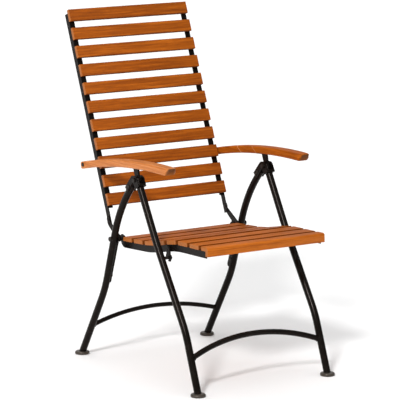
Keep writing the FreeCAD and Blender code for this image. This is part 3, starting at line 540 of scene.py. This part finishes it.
def make_hardwood(name, grain_axis, tints, end_grain, shine, own_shift=None, jointed=False):
    """Oiled hardwood with its grain along X or Y, and a colour of its own on the end grain.

    A piece with its own shift has one board's figure. Without it, each board's tone gives its look, and its
    marked narrow sides get painted shade of the gaps between slats and more roughness.
    """
    material, shader = new_material(name)
    tree = material.node_tree
    deep, body, pale = tints
    source = add(tree, "TexCoord")
    axes = add(tree, "SeparateXYZ", {0: source.outputs["Object"]}).outputs
    facing = add(tree, "SeparateXYZ", {0: source.outputs["Normal"]}).outputs
    other = "Y" if grain_axis == "X" else "X"
    along = add(tree, "CombineXYZ", {"X": axes[grain_axis], "Y": axes[other], "Z": axes["Z"]})
    figure = add(tree, "Group", node_tree=wood_figure)
    tree.links.new(along.outputs[0], figure.inputs["Along"])
    streak = figure.outputs["Streak"]
    fibre = figure.outputs["Fibre"]
    pores = figure.outputs["Pores"]
    roughness = spread(tree, fibre, 0, 1, *FIBRE_ROUGHNESS)
    if own_shift is None:
        tone = add(tree, "Attribute", attribute_name="tone").outputs["Fac"]
        side = add(tree, "Attribute", attribute_name="side").outputs["Fac"]
        tree.links.new(tone, figure.inputs["Shift"])
        streak = worked(tree, "ADD", streak, spread(tree, tone, *TONE_RANGE, -TONE_LIFT, TONE_LIFT))
        roughness = worked(tree, "MAXIMUM", roughness, worked(tree, "MULTIPLY", side, SIDE_ROUGHNESS))
    else:
        figure.inputs["Shift"].default_value = own_shift
    ramp = add(tree, "ValToRGB", {"Fac": streak})
    ramp.color_ramp.elements[0].color = deep
    ramp.color_ramp.elements[1].color = pale
    ramp.color_ramp.elements.new(0.5).color = body
    fibre_shade = spread(tree, fibre, 0, 1, *FIBRE_SHADES)
    colour = mixed(tree, 1.0, ramp.outputs["Color"], fibre_shade, "MULTIPLY")
    pore_amount = worked(tree, "MULTIPLY", pores, PORE_STRENGTH)
    colour = mixed(tree, pore_amount, colour, shaded(deep, PORE_SHADE))
    if own_shift is None:
        # Painted shade on the marked narrow sides, standing in for the shade in the gaps between slats
        painted_shade_amount = worked(tree, "MULTIPLY", side, SIDE_PAINTED_SHADE_STRENGTH)
        colour = mixed(tree, painted_shade_amount, colour, shaded(deep, SIDE_PAINTED_SHADE))
    end_mask = spread(tree, worked(tree, "ABSOLUTE", facing[grain_axis]), *END_FACING, 0, 1)
    colour = mixed(tree, end_mask, colour, end_grain)
    if jointed:
        colour = add_joints(tree, axes[grain_axis], axes["Z"], colour)
    relief = worked(tree, "SUBTRACT", fibre, pores)
    bump = add(tree, "Bump", {"Strength": GRAIN_STRENGTH, "Distance": GRAIN_RELIEF, "Height": relief})
    tree.links.new(colour, shader.inputs["Base Color"])
    tree.links.new(roughness, shader.inputs["Roughness"])
    tree.links.new(bump.outputs[0], shader.inputs["Normal"])
    shader.inputs["Specular IOR Level"].default_value = shine
    return material


def make_coat(name, dark, light, roughness, peel_height, shine):
    """Satin coat with a fine peel, as on powder-coated steel and moulded plastic."""
    material, shader = new_material(name)
    tree = material.node_tree
    source = add(tree, "TexCoord")
    coat = add(tree, "Group", node_tree=coat_texture)
    tree.links.new(source.outputs["Object"], coat.inputs["Place"])
    mottle = coat.outputs["Mottle"]
    bump = add(tree, "Bump", {
        "Strength": PEEL_STRENGTH, "Distance": peel_height, "Height": coat.outputs["Peel"]})
    tree.links.new(mixed(tree, mottle, dark, light), shader.inputs["Base Color"])
    tree.links.new(spread(tree, mottle, 0, 1, *roughness), shader.inputs["Roughness"])
    tree.links.new(bump.outputs[0], shader.inputs["Normal"])
    shader.inputs["Specular IOR Level"].default_value = shine
    shader.inputs["Specular Tint"].default_value = WARM_GLINT
    return material


slat_wood = make_hardwood("slat_hardwood", "X", WOOD_TINTS, SLAT_END_GRAIN, shine=0.14)
left_arm_wood = make_hardwood(
    "left_arm_hardwood", "Y", PALE_ARM_TINTS, ARM_END_GRAIN, shine=0.22, own_shift=0.31)
right_arm_wood = make_hardwood(
    "right_arm_hardwood", "Y", WOOD_TINTS, ARM_END_GRAIN, shine=0.05, own_shift=0.77, jointed=True)
frame_coat = make_coat(
    "frame_powder_coat", dark=(0.0036, 0.0026, 0.0020, 1), light=(0.0070, 0.0052, 0.0042, 1),
    roughness=(0.20, 0.30), peel_height=0.12 * MM, shine=0.10)
glide_plastic = make_coat(
    "glide_plastic", dark=(0.020, 0.016, 0.013, 1), light=(0.052, 0.043, 0.034, 1),
    roughness=(0.22, 0.36), peel_height=0.05 * MM, shine=0.45)
fastener_black = make_coat(
    "fastener_black", dark=(0.010, 0.008, 0.006, 1), light=(0.022, 0.018, 0.016, 1),
    roughness=(0.22, 0.36), peel_height=0.02 * MM, shine=0.16)


def dress(piece, material):
    """Give a piece one material."""
    piece.data.materials.clear()
    piece.data.materials.append(material)


slot_finishes = {
    "hardwood": slat_wood,
    "frame_steel": frame_coat,
    "glides": glide_plastic,
    "fasteners": fastener_black,
}
for row in frame["record"]["subparts"]:
    dress(frame["nodes"][row["node"]], slot_finishes[row["material_slot"]])
for slat in slats:
    dress(slat, slat_wood)
for weld in welds:
    dress(weld, frame_coat)
for glide in glides:
    dress(glide, glide_plastic)
dress(armrests["left"], left_arm_wood)
dress(armrests["right"], right_arm_wood)

# Pale studio floor, wide enough to fill the view
FLOOR_SIZE = 80
FLOOR_PAINT = (0.92, 0.92, 0.92, 1)
bpy.ops.object.select_all(action="DESELECT")
bpy.ops.mesh.primitive_plane_add(size=FLOOR_SIZE)
floor = bpy.context.object
floor.name = "studio_floor"
floor_paint, floor_shader = new_material("studio_floor")
floor_shader.inputs["Base Color"].default_value = FLOOR_PAINT
floor_shader.inputs["Roughness"].default_value = 0.9
floor_shader.inputs["Specular IOR Level"].default_value = 0.1
dress(floor, floor_paint)

# Soft distant lights: degrees to the right of the front, degrees above the floor, spread in degrees, strength
DISTANT_LIGHTS = {
    "key_light": (-52, 36, 9, 2.2),
    "front_light": (10, 10, 60, 0.2),
    "top_light": (0, 88, 90, 1.8),
    "back_light": (165, 35, 60, 0.4),
}
DISTANT_LIGHT_AWAY = 5

# Square reflector beside the chair
REFLECTOR_PLACE = Vector((-2.6, 0.6, 1.0))
REFLECTOR_AIM = Vector((0, 0, 0.5))
REFLECTOR_SIZE = 2.2
REFLECTOR_POWER = 14
SKY_STRENGTH = 0.16


def add_to_scene(name, data, place, toward_back):
    """Put a light or a camera at a place, with its back to a direction."""
    item = bpy.data.objects.new(name, data)
    item.location = place
    item.rotation_mode = "QUATERNION"
    item.rotation_quaternion = toward_back.to_track_quat("Z", "Y")
    bpy.context.scene.collection.objects.link(item)
    return item


def heading(turn, height):
    """Direction in degrees to the right of the front, and above the floor."""
    turn = math.radians(turn)
    height = math.radians(height)
    return Vector((math.sin(turn) * math.cos(height), -math.cos(turn) * math.cos(height), math.sin(height)))


for name, (turn, height, spread_angle, strength) in DISTANT_LIGHTS.items():
    light = bpy.data.lights.new(name, "SUN")
    light.angle = math.radians(spread_angle)
    light.energy = strength
    toward = heading(turn, height)
    add_to_scene(name, light, toward * DISTANT_LIGHT_AWAY, toward)
reflector = bpy.data.lights.new("left_reflector", "AREA")
reflector.shape = "SQUARE"
reflector.size = REFLECTOR_SIZE
reflector.energy = REFLECTOR_POWER
add_to_scene("left_reflector", reflector, REFLECTOR_PLACE, REFLECTOR_PLACE - REFLECTOR_AIM)
world = bpy.data.worlds.new("studio")
world.use_nodes = True
sky = world.node_tree.nodes["Background"]
sky.inputs["Color"].default_value = (1, 1, 1, 1)
sky.inputs["Strength"].default_value = SKY_STRENGTH
bpy.context.scene.world = world

# Camera at the photograph's viewing angle: degrees to the left of the front, and above the floor
CAMERA_PLACE = Vector((-4.52103, -6.80976, 1.97621))
CAMERA_TURN = 33.711
CAMERA_HEIGHT = 10.151
CAMERA_LENS = 241.2
CAMERA_SENSOR = 36
camera_data = bpy.data.cameras.new("camera")
camera_data.sensor_width = CAMERA_SENSOR
camera_data.lens = CAMERA_LENS
camera = add_to_scene("camera", camera_data, CAMERA_PLACE, heading(-CAMERA_TURN, CAMERA_HEIGHT))
bpy.context.scene.camera = camera
bpy.context.scene.view_settings.view_transform = "Standard"
